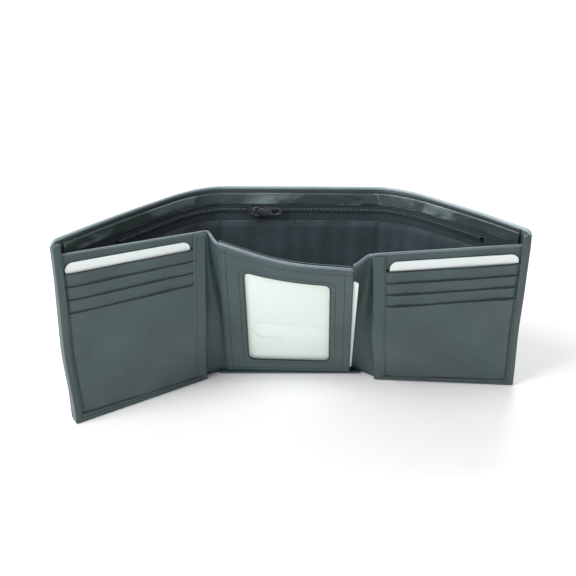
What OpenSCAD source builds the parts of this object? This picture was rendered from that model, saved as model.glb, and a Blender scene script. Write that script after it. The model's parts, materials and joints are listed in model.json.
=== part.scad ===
// Trifold wallet standing open: outer shell, two card wings, window pocket and a zipped back pocket.
// Frame: +Z up, the bottom edges stand on z = 0, the open front faces -Y.

/* [Overall] */
// Height of the outer shell
shell_h = 115; // [105:1:125]
// Height of the inner panels
inner_h = 107; // [97:1:117]
// Width of each card wing
wing_w = 91; // [89:0.5:98]
// Thickness of the outer leather
hide_t = 1.4; // [1:0.1:2]

/* [Pose] */
// How far the left wing swings forward
left_yaw = 29; // [10:1:45]
// How far the right wing swings forward
right_yaw = -2.2; // [-10:0.1:20]
// Forward lean of the right wing
right_lean = 12.5; // [0:0.5:16]
// Forward lean of the window panel
id_lean = 21; // [10:1:24]
// Turn of the window panel
id_yaw = -7; // [-10:1:0]

/* [Pockets] */
// Height of the top card slot
slot_top = 95; // [90:1:99]
// Distance between card slots
slot_step = 8.3; // [7:0.1:10]
// Thickness of a pocket layer
layer_t = 0.8; // [0.6:0.1:1.2]
// Thickness of a card
card_t = 0.8; // [0.7:0.05:0.9]
// Width of a card
card_w = 76.6; // [76:0.2:85.6]
// Height of a card
card_h = 52; // [50:0.5:54]

/* [Window panel] */
// Width of the window panel
id_w = 75; // [70:1:80]
// Width of the clear window
win_w = 49; // [45:1:54]
// Height of the clear window
win_h = 78; // [70:1:84]

/* [Zip] */
// Height of the zip teeth up the back wall
zip_h = 98.5; // [92:0.5:102]
// Size of one zip tooth along the zip
tooth = 1.1; // [0.8:0.1:1.6]

/* [Hidden] */
gap = 0.15;
slot_gap = card_t + 2 * gap;
left_fold = [-51.2, -6.8, 0];
right_fold = [50, -6.5, 0];
id_foot = [-0.9, 2, 0];
left_lean = 0.9;
// knee lines of the outer shell: foot and head of each
knee_l = [[-58, 12, 0], [-55, 36, 112]];
knee_r = [[60, 12, 0], [67.3, 34, 112]];
layers_y = 1.2 + slot_gap + 4 * layer_t + 3 * gap;

// the whole wallet is shifted so that its base is centred on the origin
shift = [-5.4, 10.9, 0];

function fr(p, yaw, lean, v) = p + [
    v.x * cos(yaw) - (v.y * cos(lean) - v.z * sin(lean)) * sin(yaw),
    v.x * sin(yaw) + (v.y * cos(lean) - v.z * sin(lean)) * cos(yaw),
    v.y * sin(lean) + v.z * cos(lean)];
function lw(v) = fr(left_fold, left_yaw, left_lean, v);
function rw(v) = fr(right_fold, right_yaw, right_lean, v);
function idp(v) = fr(id_foot, id_yaw, id_lean, v);
function flat(v) = [v.x, v.y, max(0, v.z)];
function mix(a, b, s) = a + (b - a) * s;
function unit(v) = v / norm(v);

// tip lines of the outer shell
tip_l = [flat([lw([-wing_w - 1, 1.6, 0]).x, lw([-wing_w - 1, 1.6, 0]).y, 0]), lw([-wing_w - 1, 1.6, shell_h])];
tip_r = [flat([rw([wing_w + 1, 1.6, 0]).x, rw([wing_w + 1, 1.6, 0]).y, 0]), rw([wing_w + 1, 1.6, shell_h])];
in_l = unit([knee_l[0].y - tip_l[0].y, tip_l[0].x - knee_l[0].x, 0]);
in_c = [0, -1, 0];
in_r = unit([tip_r[0].y - knee_r[0].y, knee_r[0].x - tip_r[0].x, 0]);

// a bent sheet between two upright lines, s along, t up, o offsets along n
module ruled(a, b, n, s0, s1, t0, t1, o0, o1, ns = 6, nt = 5) {
    w = ns + 1;
    h = nt + 1;
    pts = [for (o = [o0, o1]) for (j = [0:nt]) for (i = [0:ns])
        mix(mix(a[0], b[0], mix(s0, s1, i / ns)), mix(a[1], b[1], mix(s0, s1, i / ns)), mix(t0, t1, j / nt))
        + n * o];
    function id(k, i, j) = k * w * h + j * w + i;
    faces = concat(
        [for (j = [0:nt - 1]) for (i = [0:ns - 1]) each [
            [id(0, i, j), id(0, i + 1, j), id(0, i + 1, j + 1)],
            [id(0, i, j), id(0, i + 1, j + 1), id(0, i, j + 1)],
            [id(1, i, j), id(1, i + 1, j + 1), id(1, i + 1, j)],
            [id(1, i, j), id(1, i, j + 1), id(1, i + 1, j + 1)]]],
        [for (i = [0:ns - 1]) each [
            [id(0, i, 0), id(1, i + 1, 0), id(0, i + 1, 0)],
            [id(0, i, 0), id(1, i, 0), id(1, i + 1, 0)],
            [id(0, i, nt), id(0, i + 1, nt), id(1, i + 1, nt)],
            [id(0, i, nt), id(1, i + 1, nt), id(1, i, nt)]]],
        [for (j = [0:nt - 1]) each [
            [id(0, 0, j), id(0, 0, j + 1), id(1, 0, j + 1)],
            [id(0, 0, j), id(1, 0, j + 1), id(1, 0, j)],
            [id(0, ns, j), id(1, ns, j + 1), id(0, ns, j + 1)],
            [id(0, ns, j), id(1, ns, j), id(1, ns, j + 1)]]]);
    polyhedron(points = pts, faces = faces, convexity = 4);
}

// placed frames
module world() {
    translate(shift) children();
}
module left_frame() {
    world() translate(left_fold) rotate([0, 0, left_yaw]) rotate([left_lean, 0, 0]) children();
}
module right_frame() {
    world() translate(right_fold) rotate([0, 0, right_yaw]) rotate([right_lean, 0, 0]) children();
}
module id_frame_place() {
    world() translate(id_foot) rotate([0, 0, id_yaw]) rotate([id_lean, 0, 0]) children();
}
module slab(x0, x1, y0, y1, z0, z1) {
    translate([x0, y0, z0]) cube([x1 - x0, y1 - y0, z1 - z0]);
}
module rounded_slab(x0, x1, y0, y1, z0, z1, r) {
    translate([0, y1, 0]) rotate([90, 0, 0]) linear_extrude(y1 - y0) rounded(x0, x1, z0, z1, r);
}
module rounded(x0, x1, z0, z1, r) {
    difference() {
        translate([x0, z0]) square([x1 - x0, z1 - z0]);
        for (c = [[x0, z0, 1, 1], [x1, z0, -1, 1], [x0, z1, 1, -1], [x1, z1, -1, -1]])
            translate([c[0], c[1]]) scale([c[2], c[3]]) difference() {
                translate([-1, -1]) square([r + 1, r + 1]);
                translate([r, r]) circle(r, $fn = 32);
            }
    }
}
module stitch_row(x0, x1, y, z0, z1, n) {
    for (i = [0:n - 1])
        translate([mix(x0, x1, (i + 0.5) / n), y - 0.2, mix(z0, z1, (i + 0.5) / n)])
            cube([x0 == x1 ? 0.5 : 1.9, 0.4, x0 == x1 ? 1.9 : 0.5], center = true);
}

// ---- outer shell, lining and zip, one set for each of the three sections ----
module centre_sheet(s0, s1, t0, t1, o0, o1) {
    world() ruled(knee_l, knee_r, in_c, s0, s1, t0 / 112, t1 / 112, o0, o1, 8, 4);
}
module left_sheet(s0, s1, t0, t1, o0, o1) {
    world() ruled(tip_l, knee_l, in_l, s0, s1, t0 / 115, t1 / 115, o0, o1);
}
module right_sheet(s0, s1, t0, t1, o0, o1) {
    world() ruled(knee_r, tip_r, in_r, s0, s1, t0 / 115, t1 / 115, o0, o1);
}
module back_shell() {
    color([0.28, 0.36, 0.37]) centre_sheet(0.012, 0.988, 1.6, 115, -hide_t, 0);
}
module zip_pouch() {
    color([0.16, 0.2, 0.23]) centre_sheet(0.03, 0.97, 30, 96, 0.15, 0.45);
}
module zip_tape() {
    color([0.12, 0.15, 0.18]) centre_sheet(0.02, 0.98, 96.2, 103.5, 0.15, 0.5);
}
module back_lining() {
    color([0.16, 0.2, 0.23]) centre_sheet(0.02, 0.98, 3, 97, 0.6, 1.1);
}
module zip_facing() {
    color([0.2, 0.26, 0.27]) centre_sheet(0.02, 0.98, 100, 114, 0.6, 1.4);
}
// straight row of teeth along a line from p to q
module teeth(p, q, n, lean) {
    len = norm(q - p);
    yaw = atan2(q.y - p.y, q.x - p.x);
    pitch = atan2(q.z - p.z, norm([q.x - p.x, q.y - p.y]));
    translate(p) rotate([0, -pitch, yaw]) rotate([lean, 0, 0])
        for (i = [0:n - 1])
            translate([len * (i + 0.5) / n, 0, 0]) cube([tooth, 1, 2], center = true);
}
function cen(s, t, o) = mix(mix(knee_l[0], knee_r[0], s), mix(knee_l[1], knee_r[1], s), t / 112) + in_c * o;
function lef(s, t, o) = mix(mix(tip_l[0], knee_l[0], s), mix(tip_l[1], knee_l[1], s), t / 115) + in_l * o;
function rig(s, t, o) = mix(mix(knee_r[0], tip_r[0], s), mix(knee_r[1], tip_r[1], s), t / 115) + in_r * o;
module zip_teeth() {
    color([0.1, 0.13, 0.16]) world() teeth(cen(0.02, zip_h, 1.1), cen(0.98, zip_h, 1.1), 60, -12);
}
module left_shell() {
    color([0.28, 0.36, 0.37]) left_sheet(0, 0.5, 0, 115, -hide_t, 0);
}
module left_knee() {
    color([0.28, 0.36, 0.37]) left_sheet(0.5, 0.985, 1.6, 115, -hide_t, 0);
}
module left_shell_lining() {
    color([0.16, 0.2, 0.23]) left_sheet(0.12, 0.5, 3, 97, 0.25, 0.7);
}
module left_knee_lining() {
    color([0.16, 0.2, 0.23]) left_sheet(0.5, 0.97, 3, 97, 0.25, 0.7);
}
module left_zip_facing() {
    color([0.2, 0.26, 0.27]) left_sheet(0.2, 0.5, 100, 114, 0.25, 1);
}
module left_knee_facing() {
    color([0.2, 0.26, 0.27]) left_sheet(0.5, 0.97, 100, 114, 0.25, 1);
}
module left_zip_teeth() {
    color([0.1, 0.13, 0.16]) world() teeth(lef(0.4, zip_h, 0.9), lef(0.96, zip_h, 0.9), 28, -6);
}
module right_shell() {
    color([0.28, 0.36, 0.37]) right_sheet(0.5, 1, 0, 115, -hide_t, 0);
}
module right_knee() {
    color([0.28, 0.36, 0.37]) right_sheet(0.015, 0.5, 1.6, 115, -hide_t, 0);
}
module right_shell_lining() {
    color([0.16, 0.2, 0.23]) right_sheet(0.5, 0.88, 3, 97, 0.55, 1);
}
module right_knee_lining() {
    color([0.16, 0.2, 0.23]) right_sheet(0.03, 0.5, 3, 97, 0.55, 1);
}
module right_zip_facing() {
    color([0.2, 0.26, 0.27]) right_sheet(0.5, 0.8, 100, 114, 0.55, 1.3);
}
module right_knee_facing() {
    color([0.2, 0.26, 0.27]) right_sheet(0.03, 0.5, 100, 114, 0.55, 1.3);
}
module right_zip_teeth() {
    color([0.1, 0.13, 0.16]) world() teeth(rig(0.04, zip_h, 1.2), rig(0.6, zip_h, 1.2), 28, -6);
}

// ---- zip slider and pull, riding on the teeth of the centre section ----
slide_s = 0.28;
module slider_frame() {
    world() translate(cen(slide_s, zip_h, 1.1))
        rotate([0, 0, atan2(knee_r[1].y - knee_l[1].y, knee_r[1].x - knee_l[1].x)])
            rotate([-12.1, 0, 0]) children();
}
module zip_slider() {
    color([0.55, 0.57, 0.6]) slider_frame() difference() {
        union() {
            rounded_slab(-4.2, 4.2, -2.4, -1, -2.9, 2.9, 1.6);
            slab(-1.6, 1.6, -4.2, -2.4, -1.9, -1.1);
            slab(-1.6, 1.6, -4.2, -2.4, 1.1, 1.9);
        }
        translate([0, -3.3, -3]) cylinder(d = 1.1, h = 6, $fn = 24);
    }
}
module zip_pull() {
    color([0.55, 0.57, 0.6]) slider_frame() {
        translate([0, -3.3, -2.3]) cylinder(d = 0.9, h = 4.6, $fn = 24);
        difference() {
            rounded_slab(2.6, 17, -3.7, -2.9, -2.6, 2.6, 1.8);
            rounded_slab(10.5, 14.5, -4, -2, -1.2, 1.2, 1.1);
        }
        slab(-0.35, 3.2, -3.7, -2.9, -3.1, -2.3);
        slab(-0.35, 3.2, -3.7, -2.9, 2.3, 3.1);
    }
}
module zip_stops() {
    color([0.55, 0.57, 0.6]) world() {
        translate(lef(0.385, zip_h, 1)) rotate([0, 0, 40]) cube([1.2, 1.2, 2.4], center = true);
    }
}
module zip_end_stop() {
    color([0.55, 0.57, 0.6]) world() {
        translate(rig(0.615, zip_h, 1.3)) rotate([0, 0, -25]) cube([1.2, 1.2, 2.4], center = true);
    }
}

// ---- centre: compartment floor and window panel ----
module bottom_seam() {
    color([0.24, 0.31, 0.32]) world() slab(-48, 49, -1.5, 12, 0, 1.4);
}
module centre_lining() {
    color([0.16, 0.2, 0.23]) id_frame_place() slab(1 - id_w / 2, id_w / 2 - 1, 0.6, 1.1, 4, inner_h - 3);
}
module window_backing() {
    color([0.28, 0.36, 0.37]) id_frame_place() slab(-id_w / 2, id_w / 2, -0.6, 0.6, 3.2, inner_h - 1);
}
module window_pocket_seams() {
    color([0.24, 0.31, 0.32]) id_frame_place() {
        slab(-id_w / 2, -id_w / 2 + 3, -0.6 - slot_gap, -0.6, 3.2, inner_h - 1);
        slab(-id_w / 2 + 3, id_w / 2 - 1, -0.6 - slot_gap, -0.6, 3.2, 5);
    }
}
win_x = 1;
win_z = 14;
front_y = -0.6 - slot_gap;
module window_leather() {
    color([0.28, 0.36, 0.37]) id_frame_place() difference() {
        slab(-id_w / 2, id_w / 2, front_y - 1, front_y, 3.2, inner_h - 1);
        rounded_slab(win_x - win_w / 2, win_x + win_w / 2, front_y - 2, front_y + 1, win_z, win_z + win_h, 4);
    }
}
module clear_window() {
    color([0.9, 0.96, 0.94, 0.35]) id_frame_place() difference() {
        rounded_slab(win_x - win_w / 2, win_x + win_w / 2, front_y - 0.6, front_y - 0.2, win_z, win_z + win_h, 4);
        rounded_slab(win_x - 21, win_x + 21, front_y - 2, front_y + 1, win_z + 21, win_z + 33, 5.9);
    }
}
module window_top_binding() {
    color([0.5, 0.56, 0.58]) id_frame_place() slab(-id_w / 2, id_w / 2, front_y - 1, 0.6, inner_h - 1, inner_h);
}
module window_stitching() {
    color([0.2, 0.27, 0.28]) id_frame_place() {
        stitch_row(-id_w / 2 + 1, -id_w / 2 + 1, front_y - 1, 6, inner_h - 3, 33);
        stitch_row(-id_w / 2 + 4, -id_w / 2 + 4, front_y - 1, 6, inner_h - 3, 33);
        stitch_row(id_w / 2 - 2, id_w / 2 - 2, front_y - 1, 6, inner_h - 3, 33);
    }
}
module window_insert() {
    color([0.92, 0.94, 0.92]) id_frame_place()
        rounded_slab(-id_w / 2 + 3.3, id_w / 2 + 2, front_y + gap, front_y + gap + card_t, 5, inner_h - 11, 2);
}

// ---- soft strips joining the window panel to the wings ----
module left_gusset() {
    color([0.28, 0.36, 0.37]) world()
        ruled([lw([0.4, 0, 2]), lw([0.4, 0, inner_h])],
            [idp([-id_w / 2 - 0.4, 0, 2]), idp([-id_w / 2 - 0.4, 0, inner_h])],
            [0.6, 0.8, 0], 0.03, 0.97, 0, 1, -0.4, 0.6, 3, 5);
}
module right_gusset() {
    color([0.28, 0.36, 0.37]) world()
        ruled([idp([id_w / 2 + 3.8, 0.6, 2]), idp([id_w / 2 + 3.8, 0.6, inner_h])],
            [rw([-0.4, 0, 2]), rw([-0.4, 0, inner_h])],
            [-0.3, 0.95, 0], 0.03, 0.97, 0, 1, -0.4, 0.6, 3, 5);
}

// ---- one card wing in its own frame, x runs from 0 at the fold to w at the tip ----
pocket_y = -1.2 - slot_gap;
function mouth(k) = slot_top - slot_step * (k - 1);
function front(k) = pocket_y - layer_t * k - gap * (k - 1);
module wing_back() {
    slab(0.8, wing_w, -1.2, 0, 3.2, inner_h);
}
module wing_lining() {
    slab(2, wing_w - 2, 0, 0.5, 3.4, inner_h - 2);
}
module pocket_one() {
    slab(1.5, wing_w - 0.5, front(1), pocket_y, 44, mouth(1));
    slab(1.5, 2.6, pocket_y, -1.2, 44, mouth(1));
    slab(wing_w - 1.6, wing_w - 0.5, pocket_y, -1.2, 44, mouth(1));
    slab(2.6, wing_w - 1.6, pocket_y, -1.2, 44, 50);
}
module pocket(k) {
    slab(1.5, wing_w - 0.5, front(k), front(k - 1) - gap, k == 4 ? 3.4 : mouth(k) - 51, mouth(k));
    slab(1.5, 2.6, front(k - 1) - gap, front(k - 1), max(mouth(k) - 51, 45), mouth(k));
    slab(wing_w - 1.6, wing_w - 0.5, front(k - 1) - gap, front(k - 1), max(mouth(k) - 51, 45), mouth(k));
}
module wing_stitches() {
    stitch_row(2.4, 2.4, front(4), 8, mouth(4) - 1, 21);
    stitch_row(wing_w - 2, wing_w - 2, front(4), 8, mouth(4) - 1, 21);
    stitch_row(6, wing_w - 6, front(4), 6, 6, 27);
    stitch_row(3, wing_w - 2, 0.4, inner_h - 1, inner_h - 1, 30);
}
module wing_tip_edge() {
    slab(wing_w + 0.1, wing_w + 1, front(4), 1.2, 3.2, inner_h);
}
module wing_foot() {
    slab(1, wing_w, front(4), 0.4, 0, 1.6);
}
module wing_card() {
    x = 2.9 + (wing_w - 4.8 - card_w) * 0.75;
    rounded_slab(x, x + card_w, -1.2 - gap - card_t, -1.2 - gap, 50, 50 + card_h, 5);
}
module foot_frame(p, yaw) {
    world() translate(p) rotate([0, 0, yaw]) children();
}

module left_wing_back() {
    color([0.28, 0.36, 0.37]) left_frame() mirror([1, 0, 0]) wing_back();
}
module left_wing_lining() {
    color([0.16, 0.2, 0.23]) left_frame() mirror([1, 0, 0]) wing_lining();
}
module left_pocket_1() {
    color([0.28, 0.36, 0.37]) left_frame() mirror([1, 0, 0]) pocket_one();
}
module left_pocket_2() {
    color([0.28, 0.36, 0.37]) left_frame() mirror([1, 0, 0]) pocket(2);
}
module left_pocket_3() {
    color([0.28, 0.36, 0.37]) left_frame() mirror([1, 0, 0]) pocket(3);
}
module left_pocket_4() {
    color([0.28, 0.36, 0.37]) left_frame() mirror([1, 0, 0]) pocket(4);
}
module left_stitching() {
    color([0.2, 0.27, 0.28]) left_frame() mirror([1, 0, 0]) wing_stitches();
}
module left_tip_edge() {
    color([0.5, 0.56, 0.58]) left_frame() mirror([1, 0, 0]) wing_tip_edge();
}
module left_foot() {
    color([0.24, 0.31, 0.32]) foot_frame(left_fold, left_yaw) mirror([1, 0, 0]) wing_foot();
}
module left_card() {
    color([0.92, 0.95, 0.94]) left_frame() mirror([1, 0, 0]) wing_card();
}
module right_wing_back() {
    color([0.28, 0.36, 0.37]) right_frame() wing_back();
}
module right_wing_lining() {
    color([0.16, 0.2, 0.23]) right_frame() wing_lining();
}
module right_pocket_1() {
    color([0.28, 0.36, 0.37]) right_frame() pocket_one();
}
module right_pocket_2() {
    color([0.28, 0.36, 0.37]) right_frame() pocket(2);
}
module right_pocket_3() {
    color([0.28, 0.36, 0.37]) right_frame() pocket(3);
}
module right_pocket_4() {
    color([0.28, 0.36, 0.37]) right_frame() pocket(4);
}
module right_stitching() {
    color([0.2, 0.27, 0.28]) right_frame() wing_stitches();
}
module right_tip_edge() {
    color([0.5, 0.56, 0.58]) right_frame() wing_tip_edge();
}
module right_foot() {
    color([0.24, 0.31, 0.32]) foot_frame(right_fold, right_yaw) wing_foot();
}
module right_card() {
    color([0.92, 0.95, 0.94]) right_frame() wing_card();
}

back_shell();
zip_pouch();
zip_tape();
back_lining();
zip_facing();
zip_teeth();
left_shell();
left_knee();
left_shell_lining();
left_knee_lining();
left_zip_facing();
left_knee_facing();
left_zip_teeth();
right_shell();
right_knee();
right_shell_lining();
right_knee_lining();
right_zip_facing();
right_knee_facing();
right_zip_teeth();
zip_slider();
zip_pull();
zip_stops();
zip_end_stop();
bottom_seam();
centre_lining();
window_backing();
window_pocket_seams();
window_leather();
clear_window();
window_top_binding();
window_stitching();
window_insert();
left_gusset();
right_gusset();
left_wing_back();
left_wing_lining();
left_pocket_1();
left_pocket_2();
left_pocket_3();
left_pocket_4();
left_stitching();
left_tip_edge();
left_foot();
left_card();
right_wing_back();
right_wing_lining();
right_pocket_1();
right_pocket_2();
right_pocket_3();
right_pocket_4();
right_stitching();
right_tip_edge();
right_foot();
right_card();
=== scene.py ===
import bmesh
import bpy
import json
import math
import numpy as np
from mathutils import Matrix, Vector


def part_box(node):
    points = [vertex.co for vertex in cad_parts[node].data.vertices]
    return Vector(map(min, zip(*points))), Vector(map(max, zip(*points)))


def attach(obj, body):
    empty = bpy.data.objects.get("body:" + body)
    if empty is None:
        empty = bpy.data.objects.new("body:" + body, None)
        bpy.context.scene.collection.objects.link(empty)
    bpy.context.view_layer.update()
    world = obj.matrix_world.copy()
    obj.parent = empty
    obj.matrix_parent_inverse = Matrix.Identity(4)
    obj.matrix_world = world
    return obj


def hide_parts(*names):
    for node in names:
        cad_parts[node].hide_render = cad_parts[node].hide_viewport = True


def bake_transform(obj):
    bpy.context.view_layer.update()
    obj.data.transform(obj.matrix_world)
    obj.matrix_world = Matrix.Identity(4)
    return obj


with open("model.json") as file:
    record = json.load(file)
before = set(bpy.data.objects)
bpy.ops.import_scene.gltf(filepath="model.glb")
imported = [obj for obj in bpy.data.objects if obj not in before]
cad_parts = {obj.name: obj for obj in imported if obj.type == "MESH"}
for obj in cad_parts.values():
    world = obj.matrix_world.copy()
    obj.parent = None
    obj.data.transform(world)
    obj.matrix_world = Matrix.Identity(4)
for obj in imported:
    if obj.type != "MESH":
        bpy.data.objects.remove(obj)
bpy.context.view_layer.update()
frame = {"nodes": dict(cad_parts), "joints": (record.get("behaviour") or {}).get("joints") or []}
MM = 0.001
UP = np.array([0.0, 0.0, 1.0])
PANEL_H = 107.0  # height of the inner panels, mm
SHELL_H = 115.0  # height of the outer shell
WING_W = 91.0  # width of a card wing
HALF_ID = 37.5  # half the width of the window panel


# ---------- numbers read from the frame ----------
def verts(node):
    """Vertices of a CAD node, in mm."""
    mesh = frame["nodes"][node].data
    co = np.empty(len(mesh.vertices) * 3)
    mesh.vertices.foreach_get("co", co)
    m = np.array(frame["nodes"][node].matrix_world)
    return (co.reshape(-1, 3) @ m[:3, :3].T + m[:3, 3]) * 1000


def corner(node, *direction):
    v = verts(node)
    return v[np.argmax(v @ np.array(direction, float))]


def joint(name):
    return [j for j in frame["joints"] if j["name"] == name][0]


def unit(v):
    v = np.asarray(v, float)
    return v / np.linalg.norm(v, axis=-1, keepdims=True)


class Panel:
    """A flat panel's own axes: u across, v backwards, w up its height."""

    def __init__(self, node, low, reach, drape, rise=PANEL_H, bow=0.0, lift=0.0):
        """reach: u of the near and far edge.
        drape: how far the soft leather's four corners stand off the flat panel, as (outwards, backwards)
        in mm, for near foot, near top, far foot, far top.
        rise: height by which the foot's drape has turned into the top's.
        bow, lift: how far the near edge bows outwards, and is drawn up, halfway up."""
        self.reach, self.drape, self.rise = reach, np.array(drape, float), rise
        self.bow, self.lift = bow, lift
        v = np.unique(np.round(verts(node), 3), axis=0)
        axes = np.linalg.svd(v - v.mean(0))[2]
        self.z = axes[0] * np.sign(axes[0][2])
        self.x = axes[1] * np.sign(axes[1][0])
        self.y = np.cross(self.z, self.x)
        found = [np.min(v @ a) for a in (self.x, self.y, self.z)]
        self.o = sum((f - c) * a for f, c, a in zip(found, low, (self.x, self.y, self.z)))

    def at(self, u, v, w):
        u, v, w = np.broadcast_arrays(*(np.asarray(a, float) for a in (u, v, w)))
        near, far = self.reach
        x = ((u - near) / (far - near))[..., None]
        y = np.clip(w / self.rise, 0, 1.1)[..., None]
        if self.rise < PANEL_H:
            y = np.minimum(y, 1)
            y = y * y * (3 - 2 * y)
        foot = self.drape[0] * (1 - x) + self.drape[2] * x
        top = self.drape[1] * (1 - x) + self.drape[3] * x
        off = foot * (1 - y) + top * y
        h = np.clip(w / PANEL_H, 0, 1)
        lift = self.lift * np.sin(math.pi * h) ** 0.8 * (1 - x[..., 0])
        off = off + (self.bow * 4 * h * (1 - h) * (1 - x[..., 0]))[..., None] * np.array([1.0, 0.0])
        u = u + off[..., 0] * (1 if far > near else -1)
        v = v + off[..., 1]
        w = w + lift - off[..., 1] * self.y[2] / self.z[2] * (1 - y[..., 0])
        u, v, w = u[..., None], v[..., None], w[..., None]
        return self.o + u * self.x + v * self.y + w * self.z


LEFT = Panel("left_wing_back", (-WING_W, -1.2, 3.2), (0, -WING_W),
             [(0, 4.0), (2.5, -8.5), (-2, -3.5), (-0.5, 3)], 50.0, 2.9, 6.5)
RIGHT = Panel("right_wing_back", (0.8, -1.2, 3.2), (0, WING_W),
              [(2.8, 3.0), (-2, -9.2), (-2.2, -0.4), (-3.2, 2.4)], 50.0, 2.5)
IDP = Panel("window_backing", (-HALF_ID, -0.6, 3.2), (-HALF_ID, HALF_ID),
            [(-0.8, -3.4), (0.6, 9), (1.4, 4), (5.6, -6)])


def tip(panel, sign):
    foot = panel.at(sign * 92, 1.6, 0)
    return foot * np.array([1, 1, 0]), panel.at(sign * 92, 1.6, SHELL_H)


TIP_L, TIP_R = tip(LEFT, -1), tip(RIGHT, 1)
KNEE_L = (
    (corner("left_knee", 1, 1, -3) + corner("back_shell", -1, 0.5, -3)) / 2,
    (corner("left_knee", 1, 1, 3) + corner("back_shell", -1, 0.5, 3)) / 2,
)
KNEE_R = (
    (corner("right_knee", -1, 1, -3) + corner("back_shell", 1, 0.5, -3)) / 2,
    (corner("right_knee", -1, 1, 3) + corner("back_shell", 1, 0.5, 3)) / 2,
)
KNEE_ROUND = {1: (0.26, 0.12), 2: (0.12, 0.26)}  # how far each bend reaches to its left and right


# ---------- the shell surface: s runs 0 to 3 over the three sections, t from 0 at the foot to 1 ----------
def polyline(s, t):
    nodes = [TIP_L, KNEE_L, KNEE_R, TIP_R]
    b = np.array([n[0] for n in nodes])
    h = np.array([n[1] for n in nodes])
    s = np.clip(s, 0, 3)
    i = np.minimum(s.astype(int), 2)
    f = (s - i)[..., None]
    low = b[i] * (1 - f) + b[i + 1] * f
    top = h[i] * (1 - f) + h[i + 1] * f
    return low + (top - low) * t[..., None]


def shell_point(s, t):
    p = polyline(s, t)
    for k, (before, after) in KNEE_ROUND.items():
        x = np.clip((s - k + before) / (before + after), 0, 1)[..., None]
        kk = np.full_like(s, float(k))
        a, m, c = polyline(kk - before, t), polyline(kk, t), polyline(kk + after, t)
        bend = a * (1 - x) ** 2 + 2 * m * x * (1 - x) + c * x * x
        inside = (s > k - before) & (s < k + after)
        p = np.where(inside[..., None], bend, p)
    return p


def shell(s, t):
    """Point on the inner face of the outer leather and the direction into the compartment."""
    s, t = np.broadcast_arrays(np.asarray(s, float), np.asarray(t, float))
    d = 0.01
    p = shell_point(s, t)
    along = shell_point(np.minimum(s + d, 3), t) - shell_point(np.maximum(s - d, 0), t)
    n = np.stack([along[..., 1], -along[..., 0], 0 * s], -1)
    n = unit(n)
    belly = 1.2 * np.sin(math.pi * (s % 1)) * np.sin(math.pi * np.clip(t, 0, 1) * 0.9)
    return p - n * belly[..., None], n


def flat_on(panel, sign=1):
    """Surface function of a panel: u outwards, w up, front towards -y."""

    def f(u, w):
        u, w = np.broadcast_arrays(np.asarray(u, float), np.asarray(w, float))
        return panel.at(sign * u, 0 * u, w), np.broadcast_to(-panel.y, u.shape + (3,))

    return f


# ---------- mesh builders ----------
def make(name, points, faces, mat, uv=None, bevel=0.0, smooth=True):
    mesh = bpy.data.meshes.new(name)
    mesh.from_pydata((np.asarray(points) * MM).tolist(), [], faces)
    mesh.validate()
    if uv is not None:
        layer = mesh.uv_layers.new(name="UVMap")
        index = np.empty(len(mesh.loops), int)
        mesh.loops.foreach_get("vertex_index", index)
        layer.data.foreach_set("uv", np.asarray(uv)[index].astype(np.float32).ravel())
    obj = bpy.data.objects.new(name, mesh)
    bpy.context.collection.objects.link(obj)
    mesh.materials.append(mat)
    if smooth:
        mesh.polygons.foreach_set("use_smooth", [True] * len(mesh.polygons))
    if bevel:
        m = obj.modifiers.new("edge", "BEVEL")
        m.width = bevel * MM
        m.segments = 3
        m.limit_method = "ANGLE"
        m.angle_limit = math.radians(50)
        m.harden_normals = False
        n = obj.modifiers.new("normals", "WEIGHTED_NORMAL")
        n.keep_sharp = False
    return obj


def value(o, u, v):
    return np.asarray(o(u, v) if callable(o) else o + 0 * u, float)


def sheet(name, f, u, v, back, front, mat, bevel=0.3, uv_of=None, ends=(True, True)):
    """A sheet over a grid: f(u, v) gives point and front direction; back and front are offsets in mm.
    ends says whether its first and last edges across u are closed, or run on into the next section."""
    gu, gv = np.meshgrid(u, v)
    p, n = f(gu, gv)
    layers = [p + n * value(o, gu, gv)[..., None] for o in (back, front)]
    nu, nv = len(u), len(v)
    points = np.concatenate([a.reshape(-1, 3) for a in layers])
    ids = np.arange(nu * nv).reshape(nv, nu)
    k = nu * nv
    faces = []
    for j in range(nv - 1):
        for i in range(nu - 1):
            a, b, c, d = ids[j, i], ids[j, i + 1], ids[j + 1, i + 1], ids[j + 1, i]
            faces.append((k + a, k + b, k + c, k + d))
            faces.append((d, c, b, a))
    rims = [ids[0], ids[-1, ::-1]] + [ids[:, -1]] * ends[1] + [ids[::-1, 0]] * ends[0]
    for rim in rims:
        for a, b in zip(rim[:-1], rim[1:]):
            faces.append((a, b, k + b, k + a))
    gx, gy = uv_of(gu, gv) if uv_of else (gu, gv)
    uv = np.stack([np.asarray(gx, float) + 0 * gu, np.asarray(gy, float) + 0 * gu], -1).reshape(-1, 2) / 10
    faces = [tuple(int(x) for x in q) for q in faces]
    obj = make(name, points, faces, mat, np.concatenate([uv + 0.37, uv]), bevel)
    fix_normals(obj)
    return obj


def fix_normals(obj):
    b = bmesh.new()
    b.from_mesh(obj.data)
    bmesh.ops.recalc_face_normals(b, faces=b.faces)
    b.to_mesh(obj.data)
    b.free()


def rounded_loop(x0, x1, z0, z1, r, side=14, turn=8):
    pts = []
    for cx, cz, a0 in ((x1 - r, z1 - r, 0), (x0 + r, z1 - r, 90), (x0 + r, z0 + r, 180), (x1 - r, z0 + r, 270)):
        for a in np.linspace(a0, a0 + 90, turn):
            pts.append((cx + r * math.cos(math.radians(a)), cz + r * math.sin(math.radians(a))))
    out = []
    n = len(pts)
    for i in range(n):
        a, b = np.array(pts[i]), np.array(pts[(i + 1) % n])
        steps = side if i % turn == turn - 1 else 1
        out += [a + (b - a) * k / steps for k in range(steps)]
    return np.array(out)


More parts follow.
